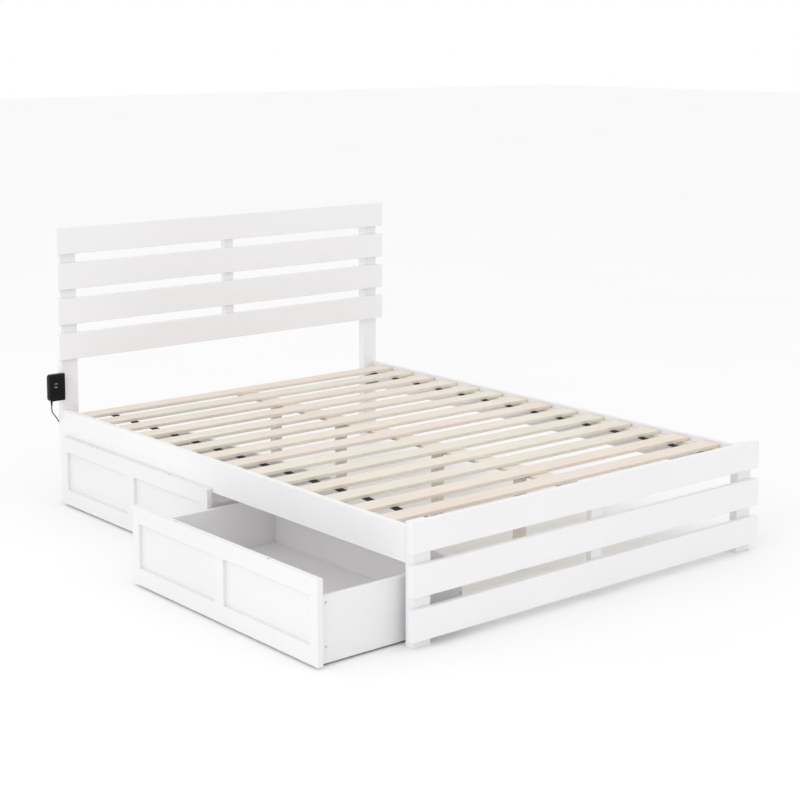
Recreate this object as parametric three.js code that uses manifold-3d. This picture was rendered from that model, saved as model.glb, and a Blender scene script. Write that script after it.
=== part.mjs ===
// Queen-size wooden platform bed frame, in millimetres. It has a slatted
// headboard and footboard, two side rails, a slat deck on a centre beam, two
// rolling drawers on the left side and a USB charger on the left head post.
// +X is to the right seen from the foot, +Y points to the headboard, +Z is up.
// The origin is on the floor, under the inner centre leg nearer the foot.
import * as THREE from "three";
import { mergeVertices } from "three/addons/utils/BufferGeometryUtils.js";
import Module from "manifold-3d";

const wasm = await Module();
wasm.setup();

// Fits
const seam = 0.3; // left between two pieces that are screwed or glued together
const edgeEase = 2; // chamfer on the long edges of every visible board

// Rails and deck
const deckWidth = 1528; // clear between the two side rails
const railLength = 2070; // from the foot legs to the head posts
const railThickness = 19;
const railHeight = 114;
const railTop = 371;
const ledgerWidth = 36; // strips along the rails that carry the slats
const ledgerHeight = 25;
const slatCount = 14;
const slatWidth = 74;
const slatThickness = 12;
const slatSetDown = 8; // slat tops below the rail tops
const slatEndGap = 4; // slat end to rail
const slatFootSetback = 89.5; // rail's foot end to the first slat
const slatHeadSetback = 67; // last slat to the rail's head end
const strapWidth = 30; // webbing that spaces the slats
const strapThickness = 1.5;
const leftStrapInset = 130; // rail to the middle of the webbing
const rightStrapInset = 107;

// Centre support
const beamWidth = 80; // a flat board
const beamHeight = 11;
const centreLegWidth = 30;
const centreLegDepth = 37;
const innerLegOffset = 283; // middle of the rails to the two inner centre legs
const outerLegOffset = 709;

// Headboard and footboard
const boardThickness = 20;
const boardOverhang = 20; // boards past the outer faces of the legs
const legWidth = 70;
const legThickness = 34;
const legSetDown = 8; // leg tops below the top board's upper edge
const stileWidth = 45;
const stileThickness = 23;
const headHeight = 1080;
const headPanelBottom = 567; // floor to the lowest headboard board
const headBoardCount = 4;
const headBoardGap = 35;
const footHeight = 395;
const footPanelBottom = 27; // floor to the lowest footboard board
const footBoardCount = 3;
const footBoardGap = 37;

// Drawers
const frontThickness = 20;
const frontRailLap = 14; // front's top above the rail's lower edge
const frontFloorGap = 8;
const frontSideGap = 8; // foot leg to first front, and first front to second
const frontHeadGap = 24; // second front to the head post
const frontRailGap = 1; // closed front to the side rail
const frontEndStile = 40;
const frontCentreStile = 50;
const frontTopRail = 56;
const frontBottomRail = 58;
const frontRecess = 12; // depth of the two sunk panels
const drawerDepth = 551;
const drawerWall = 15;
const drawerSideInset = 16; // drawer side behind the end of its front
const drawerRailGap = 47; // drawer sides to the rail above them
const drawerBottomThickness = 8;
const footDrawerOpening = 300; // the foot drawer stands open at rest
const wheelDiameter = 34;
const wheelWidth = 14;
const wheelBore = 6;
const wheelHub = 14;
const wheelDish = 2; // hub face proud of the wheel's web
const wheelTreadRound = 2;
const wheelSideGap = 3; // wheel to the drawer side that holds its axle
const wheelTopGap = 4; // wheel to the drawer's bottom
const wheelEndInset = 60; // wheel centre from the front and from the back

// Charger, its cord and the plug
const chargerWidth = 67;
const chargerDepth = 25;
const chargerHeight = 104;
const chargerPanelGap = 50.5; // charger's top to the lowest headboard board
const chargerLugThickness = 12; // lug that screws to the outer side of the post
const chargerLugReach = 26; // lug behind the front of the post
const chargerLugHeight = 60;
const chargerOuterRound = 12;
const chargerPostRound = 2;
const chargerBevel = 2;
const portWidth = 13;
const portHeight = 5.5;
const portDepth = 9;
const portPitch = 13;
const portDrop = 37; // upper port below the charger's top
const portPostInset = 40; // ports from the outer side of the post
const reliefTopDiameter = 9;
const reliefTipDiameter = 6.2;
const reliefLength = 18;
const reliefPostInset = 54; // cord exit from the outer side of the post
const cordDiameter = 4.5;
const cordSides = 8;
const cordSteps = 64;
const coilCentreX = -655;
const coilCentreY = 1328;
const coilTurnOuter = 36.3; // centreline of the outermost turn
const coilOuter = 38.7;
const coilInner = 15.7;
const coilHeight = 10.4;
const plugLength = 34;
const plugWidth = 25;
const plugHeight = 14;
const plugReliefLength = 20;
const plugReliefDiameter = 9;
const plugTipDiameter = 6.1;
const plugSink = 1; // how far the relief and the blades reach into the plug's body
const bladeLength = 16;
const bladeWidth = 1.6;
const bladeHeight = 6.4;
const bladePitch = 12.7;

// Places worked out from the sizes above
const railInnerX = deckWidth / 2;
const railOuterX = railInnerX + railThickness;
const deckMiddleY = innerLegOffset;
const footEndY = deckMiddleY - railLength / 2;
const headEndY = deckMiddleY + railLength / 2;
const slatTop = railTop - slatSetDown;
const slatUnder = slatTop - slatThickness;
const slatPitch = (railLength - slatFootSetback - slatHeadSetback - slatWidth) / (slatCount - 1);
const firstSlatY = footEndY + slatFootSetback + slatWidth / 2;
const lastSlatY = firstSlatY + (slatCount - 1) * slatPitch;
const deckLength = lastSlatY - firstSlatY + slatWidth;
const deckCentreY = (firstSlatY + lastSlatY) / 2;
const boardLength = 2 * (railOuterX + boardOverhang);
const legX = railOuterX - legWidth / 2;
const frontLength = (railLength - 2 * frontSideGap - frontHeadGap) / 2;
const frontHeight = railTop - railHeight + frontRailLap - frontFloorGap;
const drawerSideHeight = railTop - railHeight - drawerRailGap - frontFloorGap;
const drawerBottomLift = wheelDiameter + wheelTopGap - frontFloorGap; // above the sides' lower edges
const chargerBottom = headPanelBottom - chargerPanelGap - chargerHeight;

const whitePaint = new THREE.MeshStandardMaterial({ color: 0xf2f1ef, roughness: 0.45, metalness: 0 });
const paleWood = new THREE.MeshStandardMaterial({ color: 0xd9c6a8, roughness: 0.7, metalness: 0 });
const webbing = new THREE.MeshStandardMaterial({ color: 0x141414, roughness: 0.9, metalness: 0 });
const greyPlastic = new THREE.MeshStandardMaterial({ color: 0x4a4a4a, roughness: 0.5, metalness: 0 });
const blackPlastic = new THREE.MeshStandardMaterial({ color: 0x0c0c0d, roughness: 0.35, metalness: 0 });
const cordRubber = new THREE.MeshStandardMaterial({ color: 0x101010, roughness: 0.6, metalness: 0 });

const bed = new THREE.Group();

// Adds one named sub-part at a place in its parent group.
function place(name, geometry, material, x, y, z, parent = bed) {
  const mesh = new THREE.Mesh(geometry, material);
  mesh.name = name;
  mesh.position.set(x, y, z);
  parent.add(mesh);
  return mesh;
}

// A board with its four long edges chamfered, centred, running along one axis.
// sizeX, sizeY and sizeZ are its outer sizes.
function easedBoard(sizeX, sizeY, sizeZ, along) {
  const size = { x: sizeX, y: sizeY, z: sizeZ };
  const length = size[along];
  const across = along === "x" ? "y" : "x";
  const up = along === "z" ? "y" : "z";
  const halfU = size[across] / 2;
  const halfV = size[up] / 2;
  const ease = Math.min(edgeEase, halfU / 3, halfV / 3);
  const outline = new THREE.Shape();
  outline.moveTo(-halfU + ease, -halfV);
  outline.lineTo(halfU - ease, -halfV);
  outline.lineTo(halfU, -halfV + ease);
  outline.lineTo(halfU, halfV - ease);
  outline.lineTo(halfU - ease, halfV);
  outline.lineTo(-halfU + ease, halfV);
  outline.lineTo(-halfU, halfV - ease);
  outline.lineTo(-halfU, -halfV + ease);
  outline.closePath();
  const geometry = new THREE.ExtrudeGeometry(outline, { depth: length, bevelEnabled: false });
  geometry.translate(0, 0, -length / 2);
  if (along === "x") geometry.rotateX(Math.PI / 2).rotateZ(Math.PI / 2);
  if (along === "y") geometry.rotateX(Math.PI / 2);
  return geometry;
}

// Turns a closed geometry into a solid that can be cut and joined.
function toSolid(geometry) {
  const bare = geometry.clone();
  bare.deleteAttribute("normal");
  bare.deleteAttribute("uv");
  const merged = mergeVertices(bare, 1e-3);
  const vertProperties = new Float32Array(merged.attributes.position.array);
  const triVerts = new Uint32Array(merged.index.array);
  return new wasm.Manifold(new wasm.Mesh({ numProp: 3, vertProperties, triVerts }));
}

function toGeometry(solid) {
  const mesh = solid.getMesh();
  const geometry = new THREE.BufferGeometry();
  geometry.setAttribute("position", new THREE.BufferAttribute(mesh.vertProperties, 3));
  geometry.setIndex(new THREE.BufferAttribute(mesh.triVerts, 1));
  geometry.computeVertexNormals();
  return geometry;
}

function boxSolid(sizeX, sizeY, sizeZ, x, y, z) {
  return toSolid(new THREE.BoxGeometry(sizeX, sizeY, sizeZ).translate(x, y, z));
}

// Horizontal boards across the foot side of two legs and a centre stile,
// numbered from the top down. frontY is the boards' outer face.
function addEndPanel(prefix, legName, count, gap, bottom, top, frontY) {
  const boardY = frontY + boardThickness / 2;
  const legY = frontY + boardThickness + seam + legThickness / 2;
  const stileY = frontY + boardThickness + seam + stileThickness / 2;
  const height = (top - bottom - (count - 1) * gap) / count;
  const uprightTop = top - legSetDown;
  for (let i = 0; i < count; i += 1) {
    const z = top - height / 2 - i * (height + gap);
    const board = easedBoard(boardLength, boardThickness, height, "x");
    place(`${prefix}_board_${i + 1}`, board, whitePaint, 0, boardY, z);
  }
  const stile = easedBoard(stileWidth, stileThickness, uprightTop - bottom, "z");
  place(`${prefix}_centre_stile`, stile, whitePaint, 0, stileY, (uprightTop + bottom) / 2);
  for (const [side, sign] of [["left", -1], ["right", 1]]) {
    const leg = easedBoard(legWidth, legThickness, uprightTop, "z");
    place(`${prefix}_${legName}_${side}`, leg, whitePaint, sign * legX, legY, uprightTop / 2);
  }
}

// Side rails between the legs, each with the ledger that carries the slats.
function addRails() {
  for (const [side, sign] of [["left", -1], ["right", 1]]) {
    const rail = easedBoard(railThickness, railLength - 2 * seam, railHeight, "y");
    const railX = sign * (railOuterX - railThickness / 2);
    place(`side_rail_${side}`, rail, whitePaint, railX, deckMiddleY, railTop - railHeight / 2);
    const ledger = easedBoard(ledgerWidth, railLength - 2 * seam, ledgerHeight, "y");
    const ledgerX = sign * (railInnerX - seam - ledgerWidth / 2);
    const ledgerZ = slatUnder - seam - ledgerHeight / 2;
    place(`slat_ledger_${side}`, ledger, paleWood, ledgerX, deckMiddleY, ledgerZ);
  }
}

// The slats and the two webbing straps under them.
function addDeck() {
  const slatLength = deckWidth - 2 * slatEndGap;
  for (let i = 0; i < slatCount; i += 1) {
    const slat = easedBoard(slatLength, slatWidth, slatThickness, "x");
    const name = `slat_${String(i + 1).padStart(2, "0")}`;
    place(name, slat, paleWood, 0, firstSlatY + i * slatPitch, slatTop - slatThickness / 2);
  }
  const strapZ = slatUnder - seam - strapThickness / 2;
  const strap = () => new THREE.BoxGeometry(strapWidth, deckLength, strapThickness);
  place("slat_strap_left", strap(), webbing, leftStrapInset - railInnerX, deckCentreY, strapZ);
  place("slat_strap_right", strap(), webbing, railInnerX - rightStrapInset, deckCentreY, strapZ);
}

// The centre beam under the slats, on four legs.
function addCentreSupport() {
  const beamTop = slatUnder - seam;
  const beam = easedBoard(beamWidth, deckLength, beamHeight, "y");
  place("centre_beam", beam, paleWood, 0, deckCentreY, beamTop - beamHeight / 2);
  const legHeight = beamTop - beamHeight - seam;
  const offsets = [-outerLegOffset, -innerLegOffset, innerLegOffset, outerLegOffset];
  offsets.forEach((offset, i) => {
    const leg = easedBoard(centreLegWidth, centreLegDepth, legHeight, "z");
    place(`centre_leg_${i + 1}`, leg, paleWood, 0, deckMiddleY + offset, legHeight / 2);
  });
}

// A drawer front with two sunk panels. Its outer face is at x = 0, it reaches
// frontThickness towards +X and frontLength towards +Y.
function drawerFront() {
  const panelHeight = frontHeight - frontTopRail - frontBottomRail;
  const panelLength = (frontLength - 2 * frontEndStile - frontCentreStile) / 2;
  const panelZ = frontBottomRail + panelHeight / 2;
  const cutDepth = frontRecess + 1;
  const cutX = frontRecess - cutDepth / 2;
  const board = easedBoard(frontThickness, frontLength, frontHeight, "y");
  board.translate(frontThickness / 2, frontLength / 2, frontHeight / 2);
  let solid = toSolid(board);
  for (const startY of [frontEndStile, frontEndStile + panelLength + frontCentreStile]) {
    const panelY = startY + panelLength / 2;
    solid = solid.subtract(boxSolid(cutDepth, panelLength, panelHeight, cutX, panelY, panelZ));
  }
  return toGeometry(solid);
}

// A wheel with a bored hub, turning about Y.
function drawerWheel() {
  const outer = wheelDiameter / 2;
  const hub = wheelHub / 2;
  const bore = wheelBore / 2;
  const half = wheelWidth / 2;
  const web = half - wheelDish;
  const outline = [
    new THREE.Vector2(bore, -half),
    new THREE.Vector2(hub, -half),
    new THREE.Vector2(hub + wheelDish, -web),
    new THREE.Vector2(outer - 2 * wheelDish, -web),
    new THREE.Vector2(outer - wheelTreadRound, -half),
    new THREE.Vector2(outer, -half + wheelTreadRound),
    new THREE.Vector2(outer, half - wheelTreadRound),
    new THREE.Vector2(outer - wheelTreadRound, half),
    new THREE.Vector2(outer - 2 * wheelDish, web),
    new THREE.Vector2(hub + wheelDish, web),
    new THREE.Vector2(hub, half),
    new THREE.Vector2(bore, half),
    new THREE.Vector2(bore, -half),
  ];
  return new THREE.LatheGeometry(outline, 28);
}

// One drawer: front, sides, back, bottom and four wheels. startY is the foot
// end of its front, and opening is how far it is pulled out.
function addDrawer(prefix, startY, opening) {
  const drawer = new THREE.Group();
  drawer.position.set(-railOuterX - frontRailGap - frontThickness - opening, startY, frontFloorGap);
  bed.add(drawer);
  const boxX = frontThickness + seam;
  const sideLength = drawerDepth - seam;
  const innerWidth = frontLength - 2 * drawerSideInset - 2 * drawerWall;
  const innerX = boxX + sideLength - drawerWall;
  place(`${prefix}_drawer_front`, drawerFront(), whitePaint, 0, 0, 0, drawer);
  const footSideY = drawerSideInset + drawerWall / 2;
  const headSideY = frontLength - footSideY;
  for (const [end, y] of [["foot", footSideY], ["head", headSideY]]) {
    const side = easedBoard(sideLength, drawerWall, drawerSideHeight, "x");
    const x = boxX + sideLength / 2;
    place(`${prefix}_drawer_${end}_side`, side, whitePaint, x, y, drawerSideHeight / 2, drawer);
  }
  const back = easedBoard(drawerWall, innerWidth - 2 * seam, drawerSideHeight, "y");
  const middleY = frontLength / 2;
  const backX = innerX + drawerWall / 2;
  place(`${prefix}_drawer_back`, back, whitePaint, backX, middleY, drawerSideHeight / 2, drawer);
  const bottomLength = innerX - boxX - seam;
  const bottom = new THREE.BoxGeometry(bottomLength, innerWidth - 2 * seam, drawerBottomThickness);
  const bottomZ = drawerBottomLift + drawerBottomThickness / 2;
  place(`${prefix}_drawer_bottom`, bottom, whitePaint, boxX + bottomLength / 2, middleY, bottomZ, drawer);
  const wheelY = drawerSideInset + drawerWall + wheelSideGap + wheelWidth / 2;
  const wheelZ = wheelDiameter / 2 - frontFloorGap;
  for (const [across, x] of [["front", boxX + wheelEndInset], ["back", innerX - wheelEndInset]]) {
    for (const [end, y] of [["foot", wheelY], ["head", frontLength - wheelY]]) {
      place(`${prefix}_drawer_wheel_${across}_${end}`, drawerWheel(), greyPlastic, x, y, wheelZ, drawer);
    }
  }
}

// The charger: a rounded block ahead of the left head post's outer side,
// with two sockets in its face, a strain relief under it and a lug behind it
// that screws to the outer side of the post.
function addCharger() {
  const frontY = headEndY - chargerDepth;
  const left = -chargerWidth + chargerBevel;
  const right = -chargerBevel;
  const cornerX = left + chargerOuterRound;
  const top = chargerHeight - chargerBevel;
  const bottom = chargerBevel;
  const outline = new THREE.Shape();
  outline.moveTo(cornerX, bottom);
  outline.lineTo(right - chargerPostRound, bottom);
  outline.lineTo(right, bottom + chargerPostRound);
  outline.lineTo(right, top - chargerPostRound);
  outline.lineTo(right - chargerPostRound, top);
  outline.lineTo(cornerX, top);
  outline.absarc(cornerX, top - chargerOuterRound, chargerOuterRound, Math.PI / 2, Math.PI);
  outline.lineTo(left, bottom + chargerOuterRound);
  outline.absarc(cornerX, bottom + chargerOuterRound, chargerOuterRound, Math.PI, 1.5 * Math.PI);
  const block = new THREE.ExtrudeGeometry(outline, {
    depth: chargerDepth - 2 * chargerBevel,
    curveSegments: 6,
    bevelThickness: chargerBevel,
    bevelSize: chargerBevel,
    bevelSegments: 2,
  });
  block.translate(0, 0, chargerBevel - chargerDepth).rotateX(Math.PI / 2);
  let solid = toSolid(block);
  for (const drop of [portDrop, portDrop + portPitch]) {
    const cutY = portDepth / 2 - 0.5;
    const port = boxSolid(portWidth, portDepth + 1, portHeight, -portPostInset, cutY, chargerHeight - drop);
    solid = solid.subtract(port);
  }
  const lugSink = chargerBevel + 1; // how far the lug and the relief reach into the block
  const lug = boxSolid(chargerLugThickness, chargerLugReach + lugSink, chargerLugHeight,
    -chargerLugThickness / 2, chargerDepth + (chargerLugReach - lugSink) / 2, chargerHeight / 2);
  solid = solid.add(lug);
  const reliefTop = reliefTopDiameter / 2;
  const reliefTip = reliefTipDiameter / 2;
  const relief = new THREE.CylinderGeometry(reliefTop, reliefTip, reliefLength + lugSink, 20);
  relief.rotateX(Math.PI / 2);
  relief.translate(-reliefPostInset, chargerDepth / 2, (lugSink - reliefLength) / 2);
  solid = solid.add(toSolid(relief));
  place("charger_body", toGeometry(solid), blackPlastic, -railOuterX - seam, frontY, chargerBottom);
  return new THREE.Vector3(-railOuterX - seam - reliefPostInset, frontY + chargerDepth / 2,
    chargerBottom - reliefLength - seam);
}

// How far along X from the coil's centre a round piece on the line of its
// outermost turn stays clear of the coil.
function coilClearance(diameter) {
  const nearSide = coilTurnOuter - diameter / 2;
  return Math.sqrt(coilOuter ** 2 - nearSide ** 2) + seam;
}

// The cord's free stretch, round behind the head post, down its back to the
// floor and along to the coil, then the coil and the plug beyond it.
function addCord(exit) {
  const floorZ = cordDiameter / 2 + seam;
  const runY = coilCentreY + coilTurnOuter;
  const route = new THREE.CatmullRomCurve3([
    exit,
    new THREE.Vector3(-837.2, 1305.8, 384),
    new THREE.Vector3(-834.5, 1309, 373),
    new THREE.Vector3(-826.5, 1318, 362),
    new THREE.Vector3(-814, 1331, 351),
    new THREE.Vector3(-800.5, 1345, 339.5),
    new THREE.Vector3(-787, 1357.5, 326),
    new THREE.Vector3(-774, 1364.5, 309),
    new THREE.Vector3(-763, 1367.5, 285),
    new THREE.Vector3(-755.5, 1368, 252),
    new THREE.Vector3(-751.5, 1368, 210),
    new THREE.Vector3(-750, 1368, 160),
    new THREE.Vector3(-750, 1368, 100),
    new THREE.Vector3(-749, 1368, 56),
    new THREE.Vector3(-744, 1367, 28),
    new THREE.Vector3(-732, 1365.5, 10.5),
    new THREE.Vector3(-714, 1364, 3.6),
    new THREE.Vector3(-695, runY, floorZ),
    new THREE.Vector3(coilCentreX - coilClearance(cordDiameter), runY, floorZ),
  ]);
  const section = new THREE.Shape(new THREE.Path().absarc(0, 0, cordDiameter / 2, 0, 2 * Math.PI)
    .getSpacedPoints(cordSides).slice(0, cordSides));
  const cord = new THREE.ExtrudeGeometry(section, { steps: cordSteps, extrudePath: route });
  place("charger_cord", cord, cordRubber, 0, 0, 0);
  const ring = [
    new THREE.Vector2(coilInner, 0),
    new THREE.Vector2(coilOuter, 0),
    new THREE.Vector2(coilOuter, coilHeight),
    new THREE.Vector2(coilInner, coilHeight),
    new THREE.Vector2(coilInner, 0),
  ];
  const coil = new THREE.LatheGeometry(ring, 48).rotateX(Math.PI / 2);
  place("cord_coil", coil, cordRubber, coilCentreX, coilCentreY, 0);
  const plugX = coilCentreX + coilClearance(plugTipDiameter);
  place("charger_plug", plugGeometry(), blackPlastic, plugX, runY, plugHeight / 2);
}

// A plug with two flat blades at its +X end and a tapered relief at the other,
// where the relief's tip is at x = 0.
function plugGeometry() {
  const reliefEnd = plugReliefDiameter / 2;
  const relief = new THREE.CylinderGeometry(reliefEnd, plugTipDiameter / 2, plugReliefLength, 16);
  relief.rotateZ(-Math.PI / 2).translate(plugReliefLength / 2, 0, 0);
  const bodyStart = plugReliefLength - plugSink;
  const body = easedBoard(plugLength, plugWidth, plugHeight, "x");
  body.translate(bodyStart + plugLength / 2, 0, 0);
  const bladeX = bodyStart + plugLength + (bladeLength - plugSink) / 2;
  let solid = toSolid(body).add(toSolid(relief));
  for (const side of [-1, 1]) {
    const bladeY = side * bladePitch / 2;
    solid = solid.add(boxSolid(bladeLength + plugSink, bladeWidth, bladeHeight, bladeX, bladeY, 0));
  }
  return toGeometry(solid);
}

const footFaceY = footEndY - legThickness - 2 * seam - boardThickness;
const headFaceY = headEndY - boardThickness;
addEndPanel("foot", "leg", footBoardCount, footBoardGap, footPanelBottom, footHeight, footFaceY);
addEndPanel("head", "post", headBoardCount, headBoardGap, headPanelBottom, headHeight, headFaceY);
addRails();
addDeck();
addCentreSupport();
const footDrawerY = footEndY + frontSideGap;
addDrawer("foot", footDrawerY, footDrawerOpening);
addDrawer("head", footDrawerY + frontLength + frontSideGap, 0);
const cordExit = addCharger();
addCord(cordExit);

export default bed;
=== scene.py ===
import math
import random

import bmesh
import bpy
from mathutils import Matrix, Vector


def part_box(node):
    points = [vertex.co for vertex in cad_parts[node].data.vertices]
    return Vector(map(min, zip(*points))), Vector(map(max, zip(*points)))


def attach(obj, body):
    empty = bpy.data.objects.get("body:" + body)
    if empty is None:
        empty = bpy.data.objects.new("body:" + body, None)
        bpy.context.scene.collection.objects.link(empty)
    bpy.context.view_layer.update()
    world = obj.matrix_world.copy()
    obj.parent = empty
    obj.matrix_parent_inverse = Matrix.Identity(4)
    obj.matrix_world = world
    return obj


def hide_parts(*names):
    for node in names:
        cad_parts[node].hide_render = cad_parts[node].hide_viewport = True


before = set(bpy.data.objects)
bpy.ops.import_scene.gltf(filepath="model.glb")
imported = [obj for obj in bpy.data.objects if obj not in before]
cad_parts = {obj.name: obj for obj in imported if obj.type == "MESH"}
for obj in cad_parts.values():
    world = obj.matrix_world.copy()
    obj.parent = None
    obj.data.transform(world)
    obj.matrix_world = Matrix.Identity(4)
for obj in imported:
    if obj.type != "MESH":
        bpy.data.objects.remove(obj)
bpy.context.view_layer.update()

scene = bpy.context.scene
scene.view_settings.view_transform = "Standard"


def link_object(name, data):
    piece = bpy.data.objects.new(name, data)
    scene.collection.objects.link(piece)
    return piece


# ---------------------------------------------------------------------------
# The view, from someone standing off the bed's left foot corner and looking a
# little down at it, with some lens shift so that its boards stay nearly upright.
view_data = bpy.data.cameras.new("view")
view_data.sensor_width = 36.0
view_data.lens = 77.09
view_data.shift_y = -0.2
view = link_object("view", view_data)
view.location = (-3.9596, -4.5372, 1.8183)
view.rotation_euler = (math.radians(83.148), 0, math.radians(-39.823))
scene.camera = view

# ---------------------------------------------------------------------------
# The charger's lead: a round black PVC cord with a satin jacket. It comes out
# of the charger's strain relief, slips behind the head post, drops to the
# floor and is wound into a small coil that a hook-and-loop tie holds.
cord_diameter = 0.0045
coil_centre = Vector((-0.655, 1.328, 0))
coil_outer_turn = 0.0363
coil_inner_turn = 0.0181
coil_turn_gap = 0.00455
coil_lower, coil_upper = 0.0030, 0.0077
points_per_turn = 20

cord_route = [
    (-0.8373, 1.3055, 0.3942), (-0.8372, 1.3058, 0.384), (-0.8345, 1.3090, 0.373),
    (-0.8265, 1.3180, 0.362), (-0.8140, 1.3310, 0.351), (-0.8005, 1.3450, 0.3395),
    (-0.7870, 1.3575, 0.326), (-0.7740, 1.3645, 0.309), (-0.7630, 1.3675, 0.285),
    (-0.7555, 1.3680, 0.252), (-0.7515, 1.3680, 0.210), (-0.7500, 1.3680, 0.160),
    (-0.7500, 1.3680, 0.100), (-0.7490, 1.3680, 0.056), (-0.7440, 1.3670, 0.028),
    (-0.7320, 1.3655, 0.0105), (-0.7140, 1.3640, 0.0036), (-0.6950, 1.3643, 0.00255),
    (-0.6737, 1.3643, 0.0026),
]
winding_turns = round((coil_outer_turn - coil_inner_turn) / coil_turn_gap)
all_turns = 2 * winding_turns + 1
for i in range(all_turns * points_per_turn + 1):
    turn = i / points_per_turn
    climb = min(max(turn - winding_turns, 0), 1)
    wound_in = min(turn, winding_turns)
    wound_out = max(turn - winding_turns - 1, 0)
    radius = coil_outer_turn - coil_turn_gap * (wound_in - wound_out)
    angle = math.pi / 2 - 2 * math.pi * turn
    height = coil_lower + (coil_upper - coil_lower) * (3 * climb ** 2 - 2 * climb ** 3)
    cord_route.append((coil_centre.x + radius * math.cos(angle),
                       coil_centre.y + radius * math.sin(angle), height))
plug_low, plug_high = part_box("charger_plug")
plug_middle = (plug_low + plug_high) / 2
cord_route.append((plug_low.x + 0.001, plug_middle.y, plug_middle.z))


def add_cord(name, route, diameter):
    curve = bpy.data.curves.new(name, "CURVE")
    curve.dimensions = "3D"
    curve.resolution_u = 5
    curve.bevel_depth = diameter / 2
    curve.bevel_resolution = 4
    curve.use_fill_caps = True
    spline = curve.splines.new("BEZIER")
    spline.bezier_points.add(len(route) - 1)
    for point, place in zip(spline.bezier_points, route):
        point.co = place
        point.handle_left_type = point.handle_right_type = "AUTO"
    return link_object(name, curve)


def first_open(sockets, name):
    """The socket of that name which the node's present settings use."""
    return next(s for s in sockets if s.enabled and s.name == name)


def add_node(tree, kind, inputs=(), **settings):
    """A node with its settings and its inputs, each a value or the socket that feeds it."""
    made = tree.nodes.new(kind)
    for key, value in settings.items():
        setattr(made, key, value)
    for key, value in dict(inputs).items():
        socket = made.inputs[key] if isinstance(key, int) else first_open(made.inputs, key)
        if isinstance(value, bpy.types.NodeSocket):
            tree.links.new(value, socket)
        else:
            socket.default_value = value
    return made


def calc(tree, operation, *values):
    """The result of a math node on values or sockets."""
    return add_node(tree, "ShaderNodeMath", dict(enumerate(values)), operation=operation).outputs[0]


def mix(tree, factor, a, b):
    """From colour a to colour b as factor goes from 0 to 1."""
    start = a if isinstance(a, bpy.types.NodeSocket) else (*a, 1)
    made = add_node(tree, "ShaderNodeMix", {"Factor": factor, "A": start, "B": (*b, 1)}, data_type="RGBA")
    return first_open(made.outputs, "Result")


def scaled(tree, value, low, high, from_low=0.0, from_high=1.0):
    """From low to high as value goes from from_low to from_high."""
    made = add_node(tree, "ShaderNodeMapRange", {"Value": value, "From Min": from_low,
                                                 "From Max": from_high, "To Min": low, "To Max": high})
    return made.outputs["Result"]


def new_group(name, tree_type, given, results):
    """A node group with sockets given as {name: type}, its input sockets and its output sockets."""
    group = bpy.data.node_groups.new(name, tree_type)
    for way, sockets in (("INPUT", given), ("OUTPUT", results)):
        for socket, kind in sockets.items():
            group.interface.new_socket(socket, in_out=way, socket_type=f"NodeSocket{kind}")
    return group, add_node(group, "NodeGroupInput").outputs, add_node(group, "NodeGroupOutput").inputs


def dress(tree, shader, colour, gloss, height, strength, distance):
    """The shader's colour and roughness, and a bump that follows height."""
    bump = add_node(tree, "ShaderNodeBump",
                    {"Height": height, "Strength": strength, "Distance": distance}).outputs["Normal"]
    for name, socket in (("Base Color", colour), ("Roughness", gloss), ("Normal", bump)):
        tree.links.new(socket, shader.inputs[name])


def new_material(name, **constants):
    """A material with one Principled shader, whose constant sockets are set here."""
    material = bpy.data.materials.new(name)
    material.use_nodes = True
    tree = material.node_tree
    tree.nodes.clear()
    shader = add_node(tree, "ShaderNodeBsdfPrincipled")
    for key, value in constants.items():
        shader.inputs[key.replace("_", " ")].default_value = value
    end = add_node(tree, "ShaderNodeOutputMaterial")
    tree.links.new(shader.outputs["BSDF"], end.inputs["Surface"])
    return material, tree, shader


def moulded_group():
    """Fine texture of moulded plastic and rubber: a shade that drifts and a close grain."""
    group, given, results = new_group("moulded_grain", "ShaderNodeTree", {"Grain Scale": "Float"},
                                      {"Shade": "Float", "Grain": "Float"})
    place = add_node(group, "ShaderNodeTexCoord").outputs["Object"]
    shade = add_node(group, "ShaderNodeTexNoise", {"Vector": place, "Scale": 60.0, "Detail": 3.0})
    grain = add_node(group, "ShaderNodeTexNoise",
                     {"Vector": place, "Scale": given["Grain Scale"], "Detail": 2.0})
    group.links.new(shade.outputs["Fac"], results["Shade"])
    group.links.new(grain.outputs["Fac"], results["Grain"])
    return group


moulded_grain = moulded_group()


def moulded_material(name, dark, light, smooth, rough, grain_scale, depth, metallic=0.0, specular=0.5):
    """Moulded plastic or rubber: two close shades, uneven gloss and a fine skin."""
    material, tree, shader = new_material(name, Metallic=metallic, Specular_IOR_Level=specular)
    grain = add_node(tree, "ShaderNodeGroup", {"Grain Scale": grain_scale},
                     node_tree=moulded_grain).outputs
    dress(tree, shader, mix(tree, grain["Shade"], dark, light),
          scaled(tree, grain["Shade"], smooth, rough), grain["Grain"], 0.5, depth)
    return material


jacket = moulded_material("cord_jacket", (0.012, 0.012, 0.013), (0.022, 0.022, 0.023),
                          0.42, 0.55, 900.0, 0.0001)
lead = add_cord("charger_lead", cord_route, cord_diameter)
lead.data.materials.append(jacket)


def circle(radius, sides=20):
    """Points evenly spaced round a circle."""
    turns = [2 * math.pi * i / sides for i in range(sides)]
    return [(radius * math.cos(turn), radius * math.sin(turn)) for turn in turns]


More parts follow.
